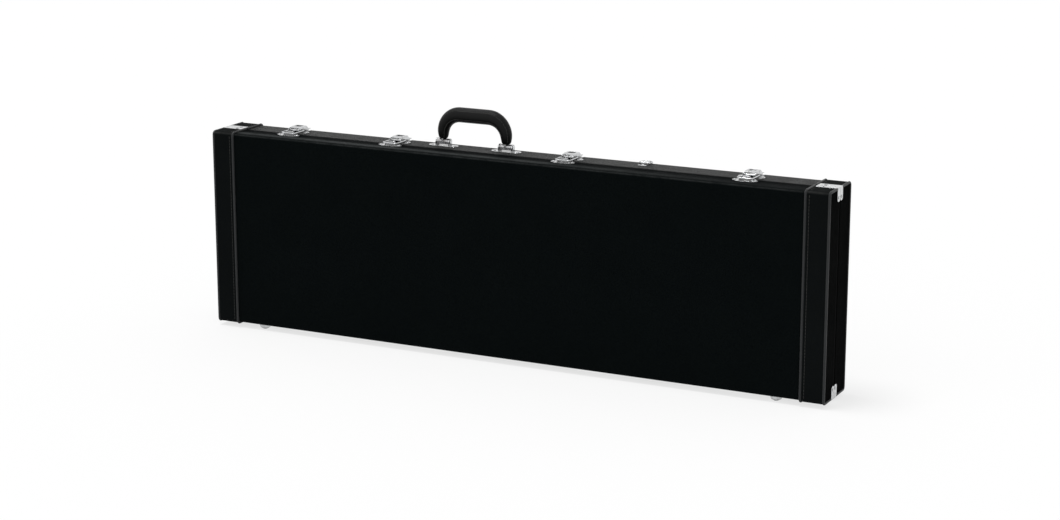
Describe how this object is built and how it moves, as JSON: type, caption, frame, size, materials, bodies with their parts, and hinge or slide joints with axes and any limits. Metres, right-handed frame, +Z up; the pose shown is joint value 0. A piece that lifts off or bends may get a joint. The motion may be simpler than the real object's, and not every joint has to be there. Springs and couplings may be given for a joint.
{
  "type": "bass guitar case",
  "caption": "Rectangular hard case for an electric bass guitar, with hinged lid, draw latches, padded handle, end caps and a padded lined interior.",
  "frame": {"origin": "middle of the footprint at floor level, with the case standing on its feet on the hinged long side", "axes": "+X along the length towards the headstock end, +Y from the lid's face to the body's back, +Z up towards the handle"},
  "size_m": [1.2522, 0.1106, 0.46],
  "materials": {
    "plywood": "black stained plywood",
    "textured_covering": "pebbled black vinyl",
    "leatherette": "smooth black leatherette",
    "piping": "grey vinyl cord",
    "plated_steel": "bright plated",
    "steel_core": "plain strap",
    "grip_leather": "stitched padded leather",
    "plush": "short black plush over foam"
  },
  "bodies": {
    "body": {"accessory_box": "plush", "accessory_pin": "plated_steel", "body_bottom_rail": "plywood", "body_corner_guards": "plated_steel", "body_covering": "textured_covering", "body_feet": "plated_steel", "body_hinge_leaves": "plated_steel", "body_left_end_cap": "leatherette", "body_left_rail": "plywood", "body_lining": "plush", "body_panel": "plywood", "body_piping": "piping", "body_right_end_cap": "leatherette", "body_right_rail": "plywood", "body_tongue": "plywood", "body_top_rail": "plywood", "corner_pads": "plush", "floor_pad": "plush", "handle_brackets": "plated_steel", "handle_pins": "plated_steel", "head_pad": "plush", "hinge_pins": "plated_steel", "latch_bases": "plated_steel", "latch_pins": "plated_steel", "lower_bout_block": "plush", "neck_rest": "plush", "tag_clip": "plated_steel", "upper_bout_block": "plush"},
    "lid": {"lid_bottom_rail": "plywood", "lid_corner_guards": "plated_steel", "lid_covering": "textured_covering", "lid_feet": "plated_steel", "lid_hinge_leaves": "plated_steel", "lid_left_end_cap": "leatherette", "lid_left_rail": "plywood", "lid_lining": "plush", "lid_neck_pad": "plush", "lid_pad": "plush", "lid_panel": "plywood", "lid_piping": "piping", "lid_right_end_cap": "leatherette", "lid_right_rail": "plywood", "lid_top_rail": "plywood", "latch_keepers": "plated_steel"},
    "lever_1": {"latch_lever_1": "plated_steel"},
    "loop_1": {"latch_loop_1": "plated_steel"},
    "lever_2": {"latch_lever_2": "plated_steel"},
    "loop_2": {"latch_loop_2": "plated_steel"},
    "lever_3": {"latch_lever_3": "plated_steel"},
    "loop_3": {"latch_loop_3": "plated_steel"},
    "lever_4": {"latch_lever_4": "plated_steel"},
    "loop_4": {"latch_loop_4": "plated_steel"},
    "handle": {"handle_core": "steel_core", "handle_grip": "grip_leather"},
    "ring": {"tag_ring": "plated_steel"},
    "flap": {"accessory_lid": "plush", "accessory_tab": "grip_leather"}
  },
  "joints": [
    {"name": "lid_hinge", "type": "hinge", "parent": "body", "child": "lid", "pos_m": [0, -0.0035, 0.007], "axis": [1, 0, 0], "range_deg": [0, 105]},
    {"name": "lever_1_pivot", "type": "hinge", "parent": "body", "child": "lever_1", "pos_m": [-0.478, 0.0085, 0.39], "axis": [1, 0, 0], "range_deg": [0, 120]},
    {"name": "loop_1_pivot", "type": "hinge", "parent": "lever_1", "child": "loop_1", "pos_m": [-0.478, 0.0185, 0.3886], "axis": [1, 0, 0], "range_deg": [-120, 0]},
    {"name": "lever_2_pivot", "type": "hinge", "parent": "body", "child": "lever_2", "pos_m": [-0.255, 0.0085, 0.39], "axis": [1, 0, 0], "range_deg": [0, 120]},
    {"name": "loop_2_pivot", "type": "hinge", "parent": "lever_2", "child": "loop_2", "pos_m": [-0.255, 0.0185, 0.3886], "axis": [1, 0, 0], "range_deg": [-120, 0]},
    {"name": "lever_3_pivot", "type": "hinge", "parent": "body", "child": "lever_3", "pos_m": [0.103, 0.0085, 0.39], "axis": [1, 0, 0], "range_deg": [0, 120]},
    {"name": "loop_3_pivot", "type": "hinge", "parent": "lever_3", "child": "loop_3", "pos_m": [0.103, 0.0185, 0.3886], "axis": [1, 0, 0], "range_deg": [-120, 0]},
    {"name": "lever_4_pivot", "type": "hinge", "parent": "body", "child": "lever_4", "pos_m": [0.455, 0.0085, 0.39], "axis": [1, 0, 0], "range_deg": [0, 120]},
    {"name": "loop_4_pivot", "type": "hinge", "parent": "lever_4", "child": "loop_4", "pos_m": [0.455, 0.0185, 0.3886], "axis": [1, 0, 0], "range_deg": [-120, 0]},
    {"name": "handle_swing", "type": "hinge", "parent": "body", "child": "handle", "pos_m": [-0.097, 0.0245, 0.393], "axis": [1, 0, 0], "range_deg": [-72, 72]},
    {"name": "ring_swing", "type": "hinge", "parent": "body", "child": "ring", "pos_m": [0.243, 0.035, 0.3868], "axis": [1, 0, 0], "range_deg": [0, 150]},
    {"name": "flap_hinge", "type": "hinge", "parent": "body", "child": "flap", "pos_m": [0.232, 0.0013, 0.0315], "axis": [1, 0, 0], "range_deg": [0, 95]}
  ],
  "couplings": [
    {"joint": "loop_1_pivot", "follows": "lever_1_pivot", "ratio": -1},
    {"joint": "loop_2_pivot", "follows": "lever_2_pivot", "ratio": -1},
    {"joint": "loop_3_pivot", "follows": "lever_3_pivot", "ratio": -1},
    {"joint": "loop_4_pivot", "follows": "lever_4_pivot", "ratio": -1},
    {"joint": "flap_hinge", "follows": "lid_hinge", "ratio": 0.9}
  ]
}
